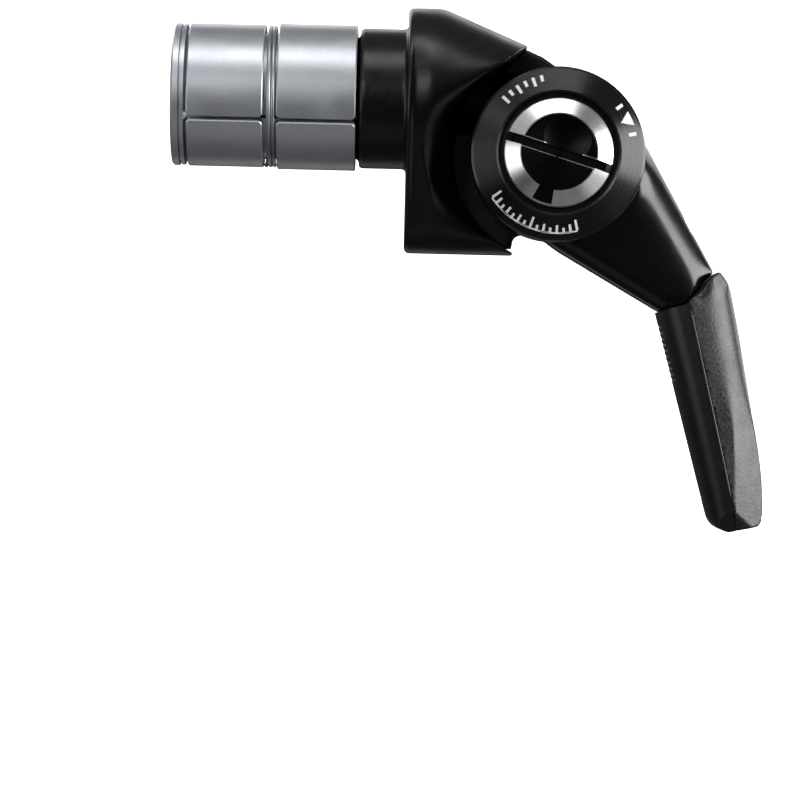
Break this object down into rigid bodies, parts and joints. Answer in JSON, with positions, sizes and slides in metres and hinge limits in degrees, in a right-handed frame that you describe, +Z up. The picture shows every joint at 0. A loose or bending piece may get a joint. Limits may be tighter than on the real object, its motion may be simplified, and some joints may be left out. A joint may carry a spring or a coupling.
{
  "type": "bar-end gear shifter",
  "caption": "Bar-end gear shifter: split expander plug for a drop handlebar, black bracket with a round pocket, and a clicking lever with a facetted grip under a slotted pivot bolt.",
  "frame": {"origin": "on the handlebar end's axis, in the plane of the bar's cut end where the bracket's flange rests", "axes": "+X out of the bar toward the lever, +Z up, -Y toward the side with the slotted pivot bolt"},
  "size_m": [0.0792, 0.0258, 0.0686],
  "materials": {
    "bracket_black": "fine moulded satin black, glass-filled resin",
    "turned_steel": "face-turned, circular grain",
    "click_steel": "ground",
    "polished_bolt": "polished, turned",
    "black_steel": "black oxide",
    "lever_black": "gloss black over forged alloy",
    "bush_resin": "natural acetal",
    "grip_smooth": "smooth satin black",
    "grip_textured": "spark-textured dark grey",
    "dial_black": "turned, black anodised, satin, white print",
    "plug_alloy": "fine blasted satin, bright edges",
    "spring_wire": "bright drawn wire"
  },
  "bodies": {
    "bracket": {"bracket": "bracket_black", "pivot_boss": "turned_steel", "base_washer": "click_steel", "index_plate": "click_steel", "bolt_washer": "click_steel", "fixing_bolt": "polished_bolt", "expander_washer": "black_steel"},
    "lever": {"lever_arm": "lever_black", "lever_bush": "bush_resin", "ball_retainer": "click_steel", "detent_balls": "polished_bolt", "disc_springs": "click_steel", "grip_shell": "grip_smooth", "grip_pad": "grip_textured"},
    "mode_dial": {"cover_disc": "dial_black"},
    "cone_nut": {"cone_nut": "plug_alloy"},
    "expander_bolt": {"expander_bolt": "black_steel"},
    "segment_1": {"segment_1": "plug_alloy"},
    "segment_2": {"segment_2": "plug_alloy"},
    "segment_3": {"segment_3": "plug_alloy"},
    "retaining_ring": {"retaining_ring": "spring_wire"}
  },
  "joints": [
    {"name": "lever_pivot", "type": "hinge", "parent": "bracket", "child": "lever", "pos_m": [0.01985, 0, -0.0075], "axis": [0, -1, 0], "range_deg": [0, 96]},
    {"name": "dial_turn", "type": "hinge", "parent": "bracket", "child": "mode_dial", "pos_m": [0.01985, -0.011, -0.0075], "axis": [0, -1, 0], "range_deg": [0, 90]},
    {"name": "expander_draw", "type": "slide", "parent": "bracket", "child": "cone_nut", "axis": [1, 0, 0], "range_m": [0, 0.0007]},
    {"name": "bolt_turn", "type": "hinge", "parent": "bracket", "child": "expander_bolt", "pos_m": [0.0043, 0, 0], "axis": [-1, 0, 0], "range_deg": [0, 253]},
    {"name": "ring_slide", "type": "slide", "parent": "bracket", "child": "retaining_ring", "axis": [1, 0, 0], "range_m": [0, 0.00036]},
    {"name": "segment_1_spread", "type": "slide", "parent": "bracket", "child": "segment_1", "axis": [0.766, -0.0683, -0.6391], "range_m": [0, 0.00046]},
    {"name": "segment_2_spread", "type": "slide", "parent": "bracket", "child": "segment_2", "axis": [0.766, 0.5877, 0.2604], "range_m": [0, 0.00046]},
    {"name": "segment_3_spread", "type": "slide", "parent": "bracket", "child": "segment_3", "axis": [0.766, -0.5194, 0.3787], "range_m": [0, 0.00046]}
  ],
  "couplings": [
    {"joint": "bolt_turn", "follows": "expander_draw", "rad_per_m": 6283.2},
    {"joint": "ring_slide", "follows": "expander_draw", "ratio": 0.5},
    {"joint": "segment_1_spread", "follows": "expander_draw", "ratio": 0.6527},
    {"joint": "segment_2_spread", "follows": "expander_draw", "ratio": 0.6527},
    {"joint": "segment_3_spread", "follows": "expander_draw", "ratio": 0.6527}
  ]
}
